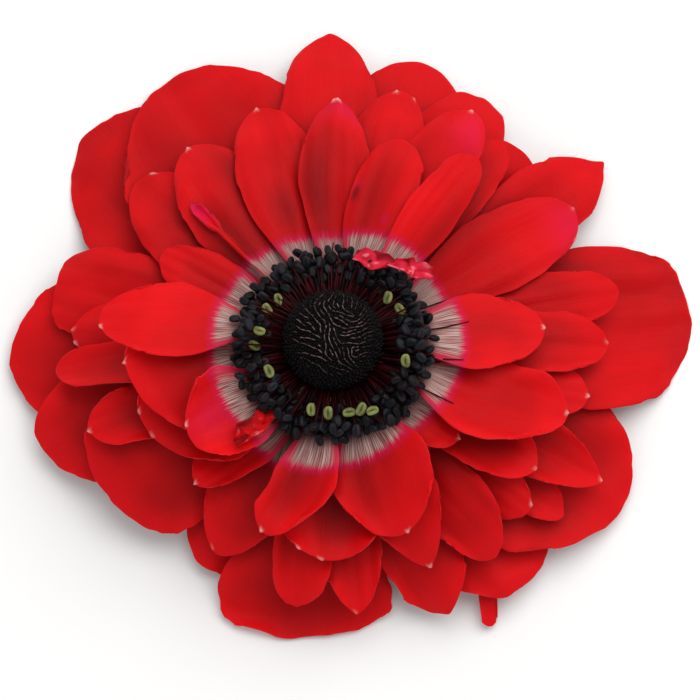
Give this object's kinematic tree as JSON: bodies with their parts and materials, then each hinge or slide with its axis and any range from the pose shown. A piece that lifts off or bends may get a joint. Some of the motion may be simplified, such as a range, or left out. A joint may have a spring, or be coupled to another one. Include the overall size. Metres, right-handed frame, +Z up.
{
  "type": "anemone flower",
  "caption": "Semi-double red poppy anemone bloom with a white ring round a dark pistil dome and stamens, cut short and lying face up on its outer petals.",
  "frame": {"origin": "on the surface that the bloom lies on, under the centre of its bounding box", "axes": "+Z up, the way the bloom faces; +X to the right across its widest spread; +Y away from the viewer"},
  "size_m": [0.0842, 0.0754, 0.0236],
  "materials": {
    "outer_petals": "satin, slightly translucent red petal tissue",
    "middle_petals": "satin, slightly translucent red petal tissue",
    "inner_petals": "satin red petal tissue, greyish white at the base",
    "receptacle": "matte green stem tissue",
    "stamens": "blue-black, powdery",
    "pistil": "black, rough with fine styles"
  },
  "bodies": {
    "root": {"outer_petal_01": "outer_petals", "outer_petal_02": "outer_petals", "outer_petal_03": "outer_petals", "outer_petal_04": "outer_petals", "outer_petal_05": "outer_petals", "outer_petal_06": "outer_petals", "outer_petal_07": "outer_petals", "outer_petal_08": "outer_petals", "outer_petal_09": "outer_petals", "outer_petal_10": "outer_petals", "outer_petal_11": "outer_petals", "outer_petal_12": "outer_petals", "outer_petal_13": "outer_petals", "outer_petal_14": "outer_petals", "outer_petal_15": "outer_petals", "outer_petal_16": "outer_petals", "outer_petal_17": "outer_petals", "outer_petal_18": "outer_petals", "middle_petal_01": "middle_petals", "middle_petal_02": "middle_petals", "middle_petal_03": "middle_petals", "middle_petal_04": "middle_petals", "middle_petal_05": "middle_petals", "middle_petal_06": "middle_petals", "middle_petal_07": "middle_petals", "middle_petal_08": "middle_petals", "middle_petal_09": "middle_petals", "middle_petal_10": "middle_petals", "middle_petal_11": "middle_petals", "middle_petal_12": "middle_petals", "middle_petal_13": "middle_petals", "middle_petal_14": "middle_petals", "middle_petal_15": "middle_petals", "middle_petal_16": "middle_petals", "middle_petal_17": "middle_petals", "middle_petal_18": "middle_petals", "middle_petal_19": "middle_petals", "middle_petal_20": "middle_petals", "middle_petal_21": "middle_petals", "middle_petal_22": "middle_petals", "inner_petal_01": "inner_petals", "inner_petal_02": "inner_petals", "inner_petal_03": "inner_petals", "inner_petal_04": "inner_petals", "inner_petal_05": "inner_petals", "inner_petal_06": "inner_petals", "inner_petal_07": "inner_petals", "inner_petal_08": "inner_petals", "inner_petal_09": "inner_petals", "inner_petal_10": "inner_petals", "inner_petal_11": "inner_petals", "inner_petal_12": "inner_petals", "inner_petal_13": "inner_petals", "inner_petal_14": "inner_petals", "inner_petal_15": "inner_petals", "inner_petal_16": "inner_petals", "curled_petal": "inner_petals", "receptacle": "receptacle", "stamens": "stamens", "pistil_dome": "pistil"}
  },
  "joints": []
}
